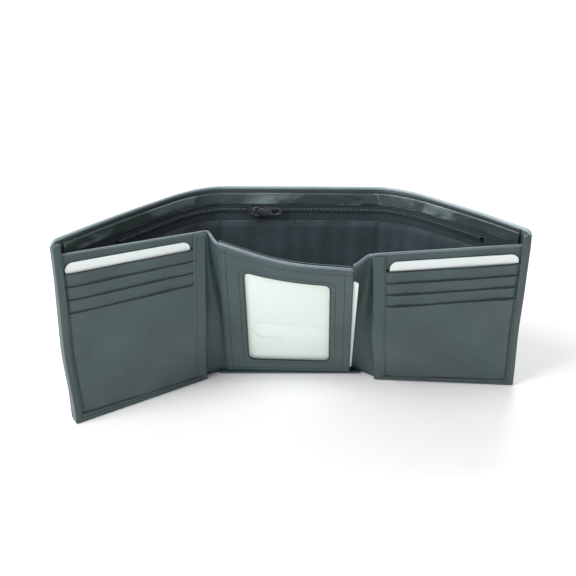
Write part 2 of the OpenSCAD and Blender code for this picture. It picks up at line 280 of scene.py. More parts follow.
def ring(name, f, outer, inner, back, front, mat, bevel=0.3, rows=4):
    """A flat ring between two loops with the same number of points."""
    n = len(outer)
    loops = [outer + (inner - outer) * k / rows for k in range(rows + 1)]
    flat = np.concatenate(loops)
    p, d = f(flat[:, 0], flat[:, 1])
    points = np.concatenate([p + d * value(o, flat[:, 0], flat[:, 1])[:, None] for o in (back, front)])
    k = len(flat)
    faces = []
    for j in range(rows):
        for i in range(n):
            a, b = j * n + i, j * n + (i + 1) % n
            faces += [(k + a, k + b, k + b + n, k + a + n), (a + n, b + n, b, a)]
    for i in range(n):
        a, b = i, (i + 1) % n
        faces.append((a, b, k + b, k + a))
        a, b = rows * n + i, rows * n + (i + 1) % n
        faces.append((b, a, k + a, k + b))
    uv = flat / 10
    obj = make(name, points, faces, mat, np.concatenate([uv + 0.37, uv]), bevel)
    fix_normals(obj)
    return obj


def plate(name, f, loop, back, front, mat, bevel=0.3):
    c = loop.mean(0)
    inner = c + (loop - c) * 0.0005
    return ring(name, f, loop, inner, back, front, mat, bevel, rows=6)


def run_length(points):
    """Distance along a path up to each of its points."""
    return np.concatenate([[0], np.cumsum(np.linalg.norm(np.diff(points, axis=0), axis=1))])


def densify(path, steps):
    """The same path with each leg split into steps."""
    path = np.asarray(path, float)
    legs = [np.linspace(a, b, steps, endpoint=False) for a, b in zip(path[:-1], path[1:])]
    return np.concatenate(legs + [path[-1:]])


def resample(points, pitch):
    d = run_length(np.asarray(points, float))
    count = max(2, int(round(d[-1] / pitch)))
    s = (np.arange(count) + 0.5) * d[-1] / count
    return s, d


def along_path(points, normals, pitch):
    s, d = resample(points, pitch)
    p = np.stack([np.interp(s, d, points[:, i]) for i in range(3)], -1)
    n = unit(np.stack([np.interp(s, d, normals[:, i]) for i in range(3)], -1))
    q = np.stack([np.interp(np.minimum(s + 0.3, d[-1]), d, points[:, i]) for i in range(3)], -1)
    r = np.stack([np.interp(np.maximum(s - 0.3, 0), d, points[:, i]) for i in range(3)], -1)
    return p, unit(q - r), n


def beads(name, centres, axes, normals, half, radius, mat, tilt=0.0, sides=6, ends=(0.35, 0.8, 1.0, 0.8, 0.35)):
    """Many small spindle shapes in one mesh: stitches or zip teeth."""
    points, faces = [], []
    rings = len(ends)
    for c, t, n in zip(centres, axes, normals):
        b = unit(np.cross(n, t))
        t2 = t * math.cos(tilt) + b * math.sin(tilt)
        b2 = unit(np.cross(n, t2))
        start = len(points)
        for j, e in enumerate(ends):
            x = (j / (rings - 1) * 2 - 1) * half
            lift = -0.6 * radius * abs(x / half) ** 3
            for k in range(sides):
                a = 2 * math.pi * k / sides
                points.append(c + t2 * x + (b2 * math.cos(a) + n * math.sin(a)) * radius * e + n * lift)
        for j in range(rings - 1):
            for k in range(sides):
                a, d = start + j * sides + k, start + j * sides + (k + 1) % sides
                faces.append((a, d, d + sides, a + sides))
        faces.append(tuple(start + k for k in reversed(range(sides))))
        faces.append(tuple(start + (rings - 1) * sides + k for k in range(sides)))
    return make(name, np.array(points), faces, mat)


def stitches(name, f, path, lift, mat, pitch=2.7, radius=0.24):
    fine = densify(path, 40)
    p, n = f(fine[:, 0], fine[:, 1])
    n = np.array(n)
    p = p + n * value(lift, fine[:, 0], fine[:, 1])[:, None]
    c, t, m = along_path(p, n, pitch)
    return beads(name, c, t, m, pitch * 0.38, radius, mat, tilt=0.1)


def sewn(name, f, path, lift, body, nodes=(), pitch=2.7):
    """A row of stitches lying in a dark line of painted shade, where they press into the leather."""
    settle(stitches(name, f, path, lift, THREAD, pitch), body, *nodes)
    pressed = lambda u, w: value(lift, u, w) - 0.16
    settle(edge_on(name + "_line", f, path, pressed, 0.3, SEAM_SHADE, steps=20), body)


def tube(name, points, normals, r, mat, sides=10, squash=1.0, ends=(True, True)):
    """A round bead along a path, such as a turned leather edge."""
    points, normals = np.asarray(points), np.asarray(normals)
    t = unit(np.gradient(points, axis=0))
    b = unit(np.cross(normals, t))
    n = np.cross(t, b)
    radius = value(r, np.linspace(0, 1, len(points)), 0)
    ang = np.arange(sides) * 2 * math.pi / sides
    cos, sin = np.cos(ang)[None, :, None], np.sin(ang)[None, :, None]
    rings = points[:, None] + (b[:, None] * cos + n[:, None] * sin * squash) * radius[:, None, None]
    faces = []
    for i in range(len(points) - 1):
        for k in range(sides):
            a, c = i * sides + k, i * sides + (k + 1) % sides
            faces.append((a, c, c + sides, a + sides))
    last = (len(points) - 1) * sides
    faces += [tuple(reversed(range(sides)))] * ends[0] + [tuple(last + k for k in range(sides))] * ends[1]
    d = run_length(points)
    uv = np.stack([np.repeat(d, sides), np.tile(ang * np.mean(radius), len(points))], -1) / 10
    return make(name, rings.reshape(-1, 3), faces, mat, uv)


def edge_on(name, f, path, lift, r, mat, squash=1.0, steps=40, ends=(True, True)):
    fine = densify(path, steps)
    p, n = f(fine[:, 0], fine[:, 1])
    p = p + n * value(lift, fine[:, 0], fine[:, 1])[:, None]
    return tube(name, p, n, r, mat, squash=squash, ends=ends)


# ---------- materials ----------
def material(name, color, rough, **sockets):
    m = bpy.data.materials.new(name)
    m.use_nodes = True
    b = m.node_tree.nodes["Principled BSDF"]
    b.inputs["Base Color"].default_value = (*color, 1)
    b.inputs["Roughness"].default_value = rough
    for k, v in sockets.items():
        b.inputs[k.replace("_", " ")].default_value = v
    return m, m.node_tree, b


def node(tree, kind, **values):
    n = tree.nodes.new(kind)
    for k, v in values.items():
        if hasattr(n, k):
            setattr(n, k, v)
        else:
            n.inputs[k.replace("_", " ")].default_value = v
    return n


def ramp(tree, source, low, high, a, b):
    r = tree.nodes.new("ShaderNodeMapRange")
    r.inputs["From Min"].default_value = low
    r.inputs["From Max"].default_value = high
    r.inputs["To Min"].default_value = a
    r.inputs["To Max"].default_value = b
    tree.links.new(source, r.inputs["Value"])
    return r.outputs["Result"]


def mix_color(tree, factor, a, b):
    m = tree.nodes.new("ShaderNodeMix")
    m.data_type = "RGBA"
    m.inputs["A"].default_value = (*a, 1)
    m.inputs["B"].default_value = (*b, 1)
    tree.links.new(factor, m.inputs["Factor"])
    return m.outputs["Result"]


def bump(tree, heights, bsdf, distance):
    """Adds several height fields, each (output, strength), as bump."""
    last = None
    for out, strength in heights:
        n = node(tree, "ShaderNodeBump", Strength=strength, Distance=distance * MM)
        tree.links.new(out, n.inputs["Height"])
        if last:
            tree.links.new(last, n.inputs["Normal"])
        last = n.outputs["Normal"]
    tree.links.new(last, bsdf.inputs["Normal"])
    tree.links.new(last, bsdf.inputs["Coat Normal"])


def streaks(t, uv):
    """Long soft creases, as in a glossy strip that has been bent often; the same noise also places a painted
    sheen along them.
    """
    place = node(t, "ShaderNodeMapping", Scale=(0.7, 1.0, 1.0), Rotation=(0.0, 0.0, 0.6))
    t.links.new(uv, place.inputs["Vector"])
    n = node(t, "ShaderNodeTexNoise", Scale=0.42, Detail=3.0, Roughness=0.5, Distortion=1.0)
    t.links.new(place.outputs["Vector"], n.inputs["Vector"])
    return n.outputs["Fac"]


def leather(name, light, dark, rough=0.46, grain=1.0, coat=0.06, creases_and_sheen=0.0):
    m, t, b = material(name, light, rough, Coat_Weight=coat, Coat_Roughness=0.35, Specular_IOR_Level=0.5)
    uv = node(t, "ShaderNodeTexCoord").outputs["UV"]
    cloud = node(t, "ShaderNodeTexNoise", Scale=0.35, Detail=4.0, Roughness=0.55)
    cells = node(t, "ShaderNodeTexVoronoi", Scale=11.0, feature="DISTANCE_TO_EDGE")
    pores = node(t, "ShaderNodeTexNoise", Scale=26.0, Detail=3.0, Roughness=0.6)
    crease = node(t, "ShaderNodeTexNoise", Scale=1.3, Detail=5.0, Roughness=0.6, Distortion=0.8)
    for n in (cloud, cells, pores, crease):
        t.links.new(uv, n.inputs["Vector"])
    tint = mix_color(t, ramp(t, cloud.outputs["Fac"], 0.3, 0.7, 0, 1), dark, light)
    t.links.new(tint, b.inputs["Base Color"])
    t.links.new(ramp(t, pores.outputs["Fac"], 0.3, 0.7, rough - 0.06, rough + 0.08), b.inputs["Roughness"])
    edge = ramp(t, cells.outputs["Distance"], 0.0, 0.12, 0, 1)
    heights = [(crease.outputs["Fac"], 0.35), (edge, 0.3), (pores.outputs["Fac"], 0.35)]
    bump(t, [(out, strength * grain) for out, strength in heights], b, 0.09)
    if creases_and_sheen:
        n = node(t, "ShaderNodeBump", Strength=creases_and_sheen, Distance=2.6 * MM)
        folds_and_sheen_mask = streaks(t, uv)
        t.links.new(folds_and_sheen_mask, n.inputs["Height"])
        # painted highlight: the base colour is lightened where the crease noise is high, standing in for the
        # glossy reflection on the folds
        painted_sheen = mix_color(t, ramp(t, folds_and_sheen_mask, 0.52, 0.7, 0, 1), (0, 0, 0), (0.2, 0.25, 0.25))
        both = node(t, "ShaderNodeMix", data_type="RGBA", blend_type="ADD")
        both.inputs["Factor"].default_value = 1.0
        t.links.new(tint, both.inputs["A"])
        t.links.new(painted_sheen, both.inputs["B"])
        t.links.new(both.outputs["Result"], b.inputs["Base Color"])
        t.links.new(b.inputs["Normal"].links[0].from_socket, n.inputs["Normal"])
        t.links.new(n.outputs["Normal"], b.inputs["Normal"])
        t.links.new(n.outputs["Normal"], b.inputs["Coat Normal"])
    return m


def fabric(name, light, dark, weave=16.0, rough=0.75, wrinkle=0.4):
    m, t, b = material(name, light, rough, Sheen_Weight=0.25, Sheen_Roughness=0.5)
    uv = node(t, "ShaderNodeTexCoord").outputs["UV"]
    waves = []
    for direction in ("X", "Y"):
        w = node(t, "ShaderNodeTexWave", Scale=weave, bands_direction=direction, Distortion=0.15)
        t.links.new(uv, w.inputs["Vector"])
        waves.append(w.outputs["Fac"])
    cloud = node(t, "ShaderNodeTexNoise", Scale=0.8, Detail=4.0)
    t.links.new(uv, cloud.inputs["Vector"])
    tint = mix_color(t, ramp(t, cloud.outputs["Fac"], 0.3, 0.7, 0, 1), dark, light)
    t.links.new(tint, b.inputs["Base Color"])
    bump(t, [(cloud.outputs["Fac"], wrinkle), (waves[0], 0.25), (waves[1], 0.25)], b, 0.08)
    return m


def metal(name, color, rough):
    m, t, b = material(name, color, rough, Metallic=1.0)
    uv = node(t, "ShaderNodeTexCoord").outputs["Object"]
    n = node(t, "ShaderNodeTexNoise", Scale=900.0, Detail=4.0)
    t.links.new(uv, n.inputs["Vector"])
    t.links.new(ramp(t, n.outputs["Fac"], 0.3, 0.7, rough - 0.06, rough + 0.12), b.inputs["Roughness"])
    bump(t, [(n.outputs["Fac"], 0.12)], b, 0.05)
    return m


def thread(name, color):
    m, t, b = material(name, color, 0.6, Sheen_Weight=0.3)
    n = node(t, "ShaderNodeTexNoise", Scale=3000.0, Detail=2.0)
    t.links.new(node(t, "ShaderNodeTexCoord").outputs["Object"], n.inputs["Vector"])
    t.links.new(mix_color(t, n.outputs["Fac"], tuple(c * 0.7 for c in color), color), b.inputs["Base Color"])
    bump(t, [(n.outputs["Fac"], 0.4)], b, 0.05)
    return m


def card_paper(name, color, rough=0.32):
    m, t, b = material(name, color, rough, Coat_Weight=0.3, Coat_Roughness=0.2)
    n = node(t, "ShaderNodeTexNoise", Scale=0.6, Detail=5.0)
    t.links.new(node(t, "ShaderNodeTexCoord").outputs["UV"], n.inputs["Vector"])
    t.links.new(mix_color(t, n.outputs["Fac"], tuple(c * 0.94 for c in color), color), b.inputs["Base Color"])
    bump(t, [(n.outputs["Fac"], 0.1)], b, 0.05)
    return m


def vinyl(name):
    m, t, b = material(name, (0.9, 0.96, 0.93), 0.12, IOR=1.45, Alpha=0.14,
                       Coat_Weight=0.6, Coat_Roughness=0.06)
    n = node(t, "ShaderNodeTexNoise", Scale=0.25, Detail=3.0)
    t.links.new(node(t, "ShaderNodeTexCoord").outputs["UV"], n.inputs["Vector"])
    t.links.new(ramp(t, n.outputs["Fac"], 0.3, 0.7, 0.08, 0.2), b.inputs["Roughness"])
    bump(t, [(n.outputs["Fac"], 0.5)], b, 0.4)
    return m


HIDE = leather("hide", (0.05, 0.08, 0.084), (0.036, 0.061, 0.065))
PANEL = leather("panel_hide", (0.052, 0.086, 0.088), (0.033, 0.059, 0.063), rough=0.46)
# the facing's glossy hide, with a painted sheen added to its colour along the creases
BAND = leather("facing_hide", (0.05, 0.075, 0.072), (0.03, 0.046, 0.046),
               rough=0.24, grain=1.2, coat=0.6, creases_and_sheen=0.7)
# pale edge leather: painted highlight where light catches the rounded top edges of the wings, strips and window
# panel
EDGE_HIGHLIGHT = leather("edge_painted_highlight", (0.125, 0.172, 0.192), (0.092, 0.13, 0.148), rough=0.4, grain=0.5, coat=0.3)
# paler still: painted highlight on the shell's top rim, where light from behind catches it
RIM_HIGHLIGHT = leather("rim_painted_highlight", (0.33, 0.41, 0.43), (0.25, 0.32, 0.34), rough=0.4, grain=0.5, coat=0.3)
LINING = fabric("lining", (0.024, 0.043, 0.053), (0.015, 0.028, 0.037))
# near-black fabric: painted shade, put in the slot openings, the foot creases, beside the zip coil and round
# the window
SHADE = fabric("shade", (0.006, 0.01, 0.012), (0.004, 0.007, 0.009), wrinkle=0.1)
TAPE = fabric("tape", (0.013, 0.03, 0.038), (0.008, 0.02, 0.027), weave=9.0, wrinkle=0.1)
NYLON = card_paper("nylon", (0.07, 0.102, 0.12), 0.22)
METAL = metal("slider_metal", (0.15, 0.165, 0.175), 0.2)
# darker hide for the pressed stitch lines, the turned edge under the shell's rim and the window panel's side
# edge: painted shade in the stitch grooves and under the rim
SEAM_SHADE = leather("seam_shade_hide", (0.03, 0.047, 0.05), (0.02, 0.032, 0.035), rough=0.5, grain=0.4)
THREAD = thread("thread", (0.013, 0.02, 0.022))
PALE = thread("pale_thread", (0.12, 0.155, 0.16))
CARD = card_paper("card", (0.8, 0.865, 0.855))
INSERT = card_paper("insert", (0.83, 0.92, 0.88), 0.45)
VINYL = vinyl("vinyl")


def settle(obj, body, *nodes):
    """Rides obj on a body, or bakes its transform in place if body names a bend, and hides the CAD nodes it
    stands for.
    """
    if body in BENDS:
        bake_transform(obj)
    else:
        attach(obj, body)
    if nodes:
        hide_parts(*nodes)
    return obj


def span(tip, knee, near, far):
    """Start and end of the bend of a shell section, as points on its level line."""
    middle = [(a[0] + a[1]) / 2 * np.array([1, 1, 0]) for a in (tip, knee)]
    d = unit(middle[1] - middle[0])
    reach = min(np.dot(k - middle[0], d) for k in knee)
    return [tuple((middle[0] + d * x) * MM) for x in (near, reach - far)]


def strip_span(panel, sign):
    a = panel.at([sign * 0.5] * 2, [0, 0], [3, 106])[:, 0]
    b = IDP.at([-sign * HALF_ID] * 2, [0, 0], [3, 106])[:, 0]
    start, end = (max(a) + 0.8, min(b) - 0.8) if sign < 0 else (min(a) - 0.8, max(b) + 0.8)
    return [(start * MM, 0, 0), (end * MM, 0, 0)]


BENDS = {
    "left": ("left_wing", span(TIP_L, KNEE_L, 22, 6)),
    "right": ("right_wing", span(TIP_R, KNEE_R, 22, 6)),
    "left_strip": ("left_wing", strip_span(LEFT, -1)),
    "right_strip": ("right_wing", strip_span(RIGHT, 1)),
}


# ---------- shell, lining and zip ----------
SECTION = {
    "left": (0.0, 1.0, "left", ("left_shell", "left_knee")),
    "centre": (1.0, 2.0, "centre", ("back_shell",)),
    "right": (2.0, 3.0, "right", ("right_shell", "right_knee")),
}
ARC = 100.0  # mm of shell for one unit of s, for the grain's scale
ZIP_T = 0.865  # height of the zip on the shell
SIDES = (("a", -1), ("b", 1))


def shell_uv(s, t):
    return s * ARC, t * SHELL_H


def wrinkled(base, amount, seed):
    def f(s, t):
        fold = np.sin(s * 31 + seed) * 0.5 + np.sin(s * 67 + 2.3 * seed + 3 * t) * 0.3
        fold = fold + np.sin(s * 17 + 2 * t) * 0.5
        return base + amount * fold * np.sin(math.pi * np.clip(t, 0, 1)) ** 0.7
    return f


def shell_top(s):
    """The top edge: a little lower over the middle, with the two tips rounded off."""
    r = 0.05
    x = np.minimum(np.clip(s / r, 0, 1), np.clip((3 - s) / r, 0, 1))
    middle = np.clip(1.25 - np.abs(s - 1.5), 0, 0.9) / 0.9
    return 1 - 0.035 * (1 - np.sqrt(1 - (1 - x) ** 2)) - 0.017 * middle * middle * (3 - 2 * middle)


def shell_grid(s, t):
    return shell(s, t * shell_top(s))


def open_ends(a, b):
    return a < 1, b > 2


def build_shell():
    for key, (a, b, body, nodes) in SECTION.items():
        ends = open_ends(a, b)
        s = np.linspace(a, b, 49)
        t = np.linspace(0.004, 1, 25)
        o = sheet("shell_" + key, shell_grid, s, t, -1.4, 0.0, HIDE, 0.0, shell_uv, ends)
        settle(o, body, *nodes)
        # the rim bead takes the pale rim material: painted highlight along the shell's top edge
        for part, t, lift, r, mat in (("rim", 1.0, -0.5, 1.15, RIM_HIGHLIGHT), ("foot", 0.009, -0.7, 0.8, HIDE)):
            line = [(a, t), (b, t)]
            settle(edge_on(f"shell_{part}_{key}", shell_grid, line, lift, r, mat, steps=60, ends=ends), body)
        for part, t in (("top", 0.969), ("foot", 0.03)):
            line = [(max(a, 0.03) + 0.003, t), (min(b, 2.97) - 0.003, t)]
            settle(stitches(f"outer_stitch_{part}_{key}", shell_grid, line, -1.42, THREAD), body)
    build_lining()


def build_lining():
    cuts = {"left": (0.06, 1.0, ("left_shell_lining", "left_knee_lining")),
            "centre": (1.0, 2.0, ("back_lining", "zip_pouch")),
            "right": (2.0, 2.94, ("right_shell_lining", "right_knee_lining"))}
    for key, (a, b, nodes) in cuts.items():
        s = np.linspace(a, b, 121)
        o = sheet("lining_" + key, shell, s, np.linspace(0.03, 0.806, 22),
                  0.3, wrinkled(1.6, 0.75, 1.7), LINING, 0.0, shell_uv)
        settle(o, SECTION[key][2], *nodes)


FACING = {"left": (0.07, 1.0, ("left_zip_facing", "left_knee_facing")),
          "centre": (1.0, 2.0, ("zip_facing",)),
          "right": (2.0, 2.93, ("right_zip_facing", "right_knee_facing"))}


def build_facing():
    for key, (a, b, nodes) in FACING.items():
        body, ends = SECTION[key][2], open_ends(a, b)
        s = np.linspace(a, b, 73)
        o = sheet("facing_" + key, shell_grid, s, np.linspace(0.912, 0.976, 9),
                  0.3, wrinkled(1.3, 0.14, 0.6), BAND, 0.0, shell_uv, ends)
        settle(o, body, *nodes)
        # turned edge below the rim, in the darker seam hide: painted shade under the rim
        o = sheet("turned_edge_" + key, shell_grid, s, np.linspace(0.97, 0.995, 4),
                  0.2, 0.75, SEAM_SHADE, 0.0, shell_uv, ends)
        settle(o, body)
        o = sheet("zip_tape_" + key, shell, s, np.linspace(0.79, 0.925, 6),
                  0.35, 0.8, TAPE, 0.0, shell_uv, ends)
        settle(o, body, *(("zip_tape",) if key == "centre" else ()))
        lines = (("facing_stitch_", shell_grid, 0.969, 1.36, PALE), ("tape_stitch_", shell, 0.801, 1.9, PALE))
        for part, f, t, lift, mat in lines:
            o = stitches(part + key, f, [(a + 0.01, t), (b - 0.003, t)], lift, mat, radius=0.17)
            settle(o, body)
        lips = (("facing_lip_", shell_grid, 0.912, 0.95, BAND), ("lining_lip_", shell, 0.806, 1.3, LINING))
        for part, f, t, lift, mat in lips:
            o = edge_on(part + key, f, [(a, t), (b, t)], lift, 0.42, mat, steps=60, ends=ends)
            settle(o, body)


def build_coil():
    runs = {"left": (0.42, 1.0, "left_zip_teeth"),
            "centre": (1.0, 2.0, "zip_teeth"),
            "right": (2.0, 2.66, "right_zip_teeth")}
    for key, (a, b, cad) in runs.items():
        fine = np.linspace(a, b, 160)
        p, n = shell(fine, np.full_like(fine, ZIP_T))
        p = p + n * 1.2
        c, t, m = along_path(p, n, 1.45)
        across = unit(np.cross(m, t))
        tilted = unit(across + 0.25 * t)
        o = beads("coil_" + key, c, tilted, m, 1.55, 0.5, NYLON, sides=6, ends=(0.5, 0.95, 1.0, 0.95, 0.5))
        settle(o, SECTION[key][2], cad)
        for side, k in SIDES:
            # near-black cords along both sides of the coil, in the shade material: the coil's edges, darkened
            # as a painted shadow line beside the teeth
            q = p + unit(np.cross(n, np.gradient(p, axis=0))) * k * 1.75 - n * 0.25
            settle(tube(f"coil_cord_shadow_{key}_{side}", q, n, 0.42, SHADE, sides=6), SECTION[key][2])


def block(name, origin, axes, size, mat, bevel):
    """A rounded block: a box with a real radius, on given axes."""
    x, y, z = axes
    pts = [origin + x * size[0] * i / 2 + y * size[1] * j / 2 + z * size[2] * k / 2
           for i in (-1, 1) for j in (-1, 1) for k in (-1, 1)]
    faces = [(0, 1, 3, 2), (4, 6, 7, 5), (0, 4, 5, 1), (2, 3, 7, 6), (0, 2, 6, 4), (1, 5, 7, 3)]
    o = make(name, np.array(pts), faces, mat, bevel=bevel)
    fix_normals(o)
    return o


def slider_axes():
    x, z = unit(joint("zip_slide")["axis"]), -unit(joint("pull_flip")["axis"])
    return x, unit(np.cross(z, x)), z


def build_slider():
    x, y, z = slider_axes()
    pin = np.array(joint("pull_flip")["pos_m"], float) / MM

    def face(u, w):
        u, w = np.broadcast_arrays(np.asarray(u, float), np.asarray(w, float))
        return pin + u[..., None] * x + w[..., None] * z, np.broadcast_to(-y, u.shape + (3,))

    half = [(3.6, 1.7), (1.2, 2.9), (-2.4, 2.9), (-4.2, 1.9)]
    outline = np.array([(4.2, 0)] + half + [(u, -w) for u, w in reversed(half)])
    body = plate("slider_body", face, outline, -2.3, -1.1, METAL, 0.35)
    settle(body, "zip_slider", "zip_slider")
    for side, k in SIDES:
        at = pin + z * 1.45 * k + y * 0.2
        settle(block("slider_lug_" + side, at, (x, y, z), (3.0, 1.9, 0.7), METAL, 0.3), "zip_slider")
    bridge = tube("slider_pin", [pin - z * 2.2, pin, pin + z * 2.2], [y, y, y], 0.42, METAL)
    settle(bridge, "zip_pull", "zip_pull")
    outer = rounded_loop(3.0, 17.0, -2.5, 2.5, 1.8, 6, 5)
    inner = rounded_loop(10.8, 14.8, -1.2, 1.2, 1.1, 6, 5)
    settle(ring("pull_tab", face, outer, inner, -0.4, 0.4, METAL, 0.25), "zip_pull")
    for side, k in SIDES:
        route = [pin + z * 2.2 * k, pin + z * 2.45 * k + x * 1.2, pin + z * 2.2 * k + x * 3.8]
        settle(tube("pull_arm_" + side, route, [y, y, y], 0.42, METAL), "zip_pull")
    ridge = plate("pull_grip", face, rounded_loop(5.0, 9.6, -1.5, 1.5, 1.3, 6, 5), 0.35, 0.6, METAL, 0.12)
    settle(ridge, "zip_pull")


def build_stops():
    ends = (("left", 0.41, "zip_stops"), ("right", 2.67, "zip_end_stop"))
    for body, s, cad in ends:
        p, n = shell(np.array([s]), np.array([ZIP_T]))
        q = shell(np.array([s + 0.01]), np.array([ZIP_T]))[0]
        t = unit(q - p)[0]
        axes = (t, n[0], unit(np.cross(t, n[0])))
        o = block("stop_" + body, p[0] + n[0] * 1.2, axes, (1.3, 1.2, 3.4), METAL, 0.3)
        settle(o, body, cad)


# ---------- card wings ----------
SLOT_TOP, SLOT_STEP = 95.0, 8.3
FOOT_HEM = {"left": (2.2, 5.2), "right": (2.8, 3.8)}  # height of the hem at the fold and at the tip
MOUTH = (8.4, 86.8)  # ends of the card slots, across the wing


def mouth(k):
    return SLOT_TOP - SLOT_STEP * (k - 1)


def out(k):
    return 3.05 + 0.55 * (k - 1)


def level(w, extra=0.0):
    """Front of the side strips: as thick as the pockets below, thinner above the slots."""
    x = np.clip((w - 68) / 36, 0, 1)
    return 4.75 - 2.1 * x * x * (3 - 2 * x) + extra


def soft_edge(u, a, b, width):
    """1 in the middle, falling smoothly to 0 at a and b."""
    x = np.clip(np.minimum(u - a, b - u) / width, 0, 1)
    return x * x * (3 - 2 * x)


def pocket_front(k, seed):
    def f(u, w):
        body = soft_edge(u, MOUTH[0], MOUTH[1], 5)
        lip = np.exp(-((w - mouth(k)) / 2.2) ** 2)
        wave = 0.16 * np.sin(u * 0.09 + seed) + 0.1 * np.sin(u * 0.21 + w * 0.13 + seed)
        return out(k) + body * (0.1 + wave + 0.6 * lip) - 0.2 * (1 - body)
    return f


def shifted(f, d):
    return lambda u, w: f(u, w) + d


def build_wing(name, panel, sign, lean):
    f = flat_on(panel, sign)
    body = name + "_wing"
    cad = lambda part: f"{name}_{part}"
    foot = 6.6 * math.tan(lean) + 0.1
    o = sheet(cad("base"), f, np.linspace(0.6, WING_W, 30), np.linspace(3, PANEL_H, 30), 0.0, 1.2, PANEL, 0.4)
    settle(o, body, cad("wing_back"))
    o = sheet(cad("rear_lining"), f, np.linspace(1.5, 89.5, 40), np.linspace(3.4, 105.5, 30), -0.55,
              lambda u, w: 0.0 * u - 0.02, LINING, 0.0)
    settle(o, body, cad("wing_lining"))
    for k in (1, 2, 3, 4):
        low = foot + 1.2 if k == 4 else mouth(k) - 20
        front = pocket_front(k, k * 1.3 + sign)
        height = np.linspace(low, mouth(k), 36 if k == 4 else 14)
        o = sheet(cad(f"pocket_{k}"), f, np.linspace(4.4, 88, 61), height,
                  shifted(front, -0.5), front, PANEL, 0.2)
        settle(o, body, cad(f"pocket_{k}"))
        lip = [(5, mouth(k)), (MOUTH[1], mouth(k))]
        settle(edge_on(cad(f"pocket_lip_{k}"), f, lip, shifted(front, -0.25), 0.34, PANEL), body)
        # near-black tube behind each slot's lip, in the shade material: the slot's lining, darkened as painted
        # shadow in the opening
        dark = [(MOUTH[0] - 0.6, mouth(k) + 0.42), (MOUTH[1] + 0.4, mouth(k) + 0.42)]
        o = edge_on(cad(f"slot_lining_{k}"), f, dark, shifted(front, -0.72), 0.5, SHADE)
        settle(o, body)
    build_wing_trim(name, f, body, foot)
    build_card(name, f)


def build_wing_trim(name, f, body, foot):
    cad = lambda part: f"{name}_{part}"
    wide = np.linspace(0, 1, 7)
    near, far = FOOT_HEM[name]
    crease = lambda u: foot + near + (far - near) * u / WING_W
    hem = lambda u, w: f(u, foot + (crease(u) - foot) * w)
    round_top = lambda u: 113.8 - 2.6 * (1 - np.sqrt(1 - np.clip((u - 89.4) / 3.1, 0, 1) ** 2))
    tip_hem = lambda u, w: f(u, foot + (round_top(u) - foot) * w)
    tip_level = lambda u, w: level(foot + (110 - foot) * w, 0.45) - 1.5 * np.clip((w - 0.94) / 0.06, 0, 1)
    fold_level = lambda u, w: level(w, 0.1)
    strips = {
        "tip_hem": (tip_hem, 87.5 + 4.9 * wide, np.linspace(0, 1, 50), -1.6, tip_level, ("tip_edge",)),
        "fold_hem": (f, 0.4 + 7.6 * wide, np.linspace(foot + 1, 106.6, 40), 0.0, fold_level, ()),
        "foot_hem": (hem, np.linspace(0.6, 91.5, 50), wide, 0.0, 5.15, ("foot",)),
    }
    for part, (place, u, w, back, front, nodes) in strips.items():
        o = sheet(cad(part), place, u, w, back, front, PANEL if part != "tip_hem" else HIDE, 0.6)
        settle(o, body, *[cad(n) for n in nodes])
    o = sheet(cad("top_band"), f, np.linspace(1, WING_W, 40), np.linspace(102.6, PANEL_H, 6),
              0.8, 1.3, PANEL, 0.25)
    settle(o, body)
    # top edge bead in the pale edge material: painted highlight along the rounded top
    o = edge_on(cad("top_edge"), f, [(0.8, PANEL_H), (WING_W, PANEL_H)], 0.35, 0.95, EDGE_HIGHLIGHT)
    settle(o, body)
    # near-black tube in the crease above the foot hem: painted shadow in the crease
    o = edge_on(cad("foot_crease"), f, [(u, crease(u) + 0.3) for u in (5, 46, 87)], 4.75, 0.42, SHADE)
    settle(o, body)
    lines = {
        "tip": [(88.7, 106.5), (88.7, foot + 2.5), 0.45],
        "tip_inner": [(86.6, 97), (86.6, foot + 6), 0.0],
        "fold": [(7.0, 105), (7.0, foot + 5.5), 0.1],
        "foot": [(4, foot + near * 0.55), (88, foot + far * 0.6), 5.15],
        "top": [(5, 104.0), (87, 104.0), 1.15],
    }
    lift = {"foot": 5.15, "top": 1.15}
    for k, v in lines.items():
        top = lift.get(k) or (lambda u, w, e=v[2]: level(w, e))
        sewn(cad("stitch_" + k), f, v[:2], top, body, (cad("stitching"),) if k == "tip" else ())


def build_card(name, f):
    """A card as wide as its CAD solid, lying just in front of the wing's base."""
    panel = LEFT if name == "left" else RIGHT
    across = np.abs((verts(f"{name}_card") - panel.o) @ panel.x)
    loop = rounded_loop(across.min() + 0.2, across.max() - 0.2, 50, 102, 5.0, 20, 8)
    o = plate(f"{name}_display_card", f, loop, 1.5, 2.2, CARD, 0.15)
    settle(o, f"{name}_card", f"{name}_card")


# ---------- window panel ----------
INSERT_SLIDE = joint("window_insert_slide")["range_m"][1] / MM


def id_sag(u):
    return -1.6 * np.sin(math.pi * (u + HALF_ID) / (2 * HALF_ID)) ** 2


def id_face(u, w):
    u, w = np.broadcast_arrays(np.asarray(u, float), np.asarray(w, float))
    w2 = w + id_sag(u) * np.clip((w - 60) / 47, 0, 1) ** 2
    across = np.clip((u + HALF_ID) / (2 * HALF_ID), 0, 1)
    swell = 3.4 * np.sin(math.pi * across) * np.clip(w / PANEL_H, 0, 1) ** 1.3
    return IDP.at(u, -swell, w2), np.broadcast_to(-IDP.y, u.shape + (3,))


def insert_face(u, w):
    """Where the insert lies: it fits the pocket best halfway along its slide."""
    p, n = id_face(np.asarray(u) + INSERT_SLIDE / 2, w)
    return p - IDP.x * INSERT_SLIDE / 2, n


